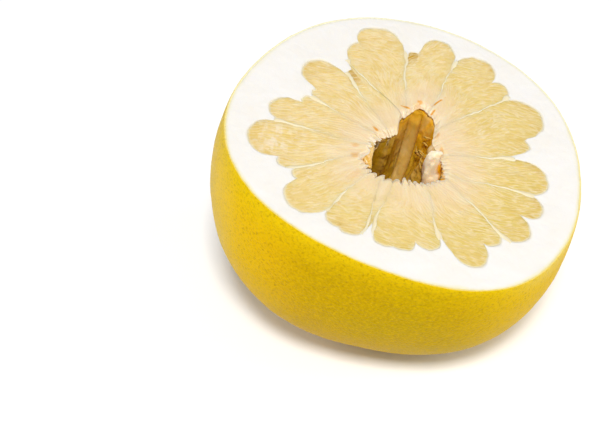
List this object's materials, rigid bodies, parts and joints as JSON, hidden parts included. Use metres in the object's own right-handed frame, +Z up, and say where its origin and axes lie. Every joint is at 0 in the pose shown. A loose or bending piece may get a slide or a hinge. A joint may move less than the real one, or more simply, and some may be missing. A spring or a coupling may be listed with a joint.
{
  "type": "half pomelo",
  "caption": "Half of a round citrus fruit, cut side up on its rounded end, with thick pale pith, lobed pulp segments and a hollow core.",
  "frame": {"origin": "centre of the small flat spot that the fruit rests on", "axes": "+Z up out of the resting spot, towards the cut; +X towards the low side of the cut, across it"},
  "size_m": [0.151, 0.1469, 0.1072],
  "materials": {
    "rind": "satin",
    "pith": "matte",
    "pulp": "gloss",
    "membrane": "satin",
    "core": "matte"
  },
  "bodies": {
    "root": {"half_pomelo": "rind"}
  },
  "joints": []
}
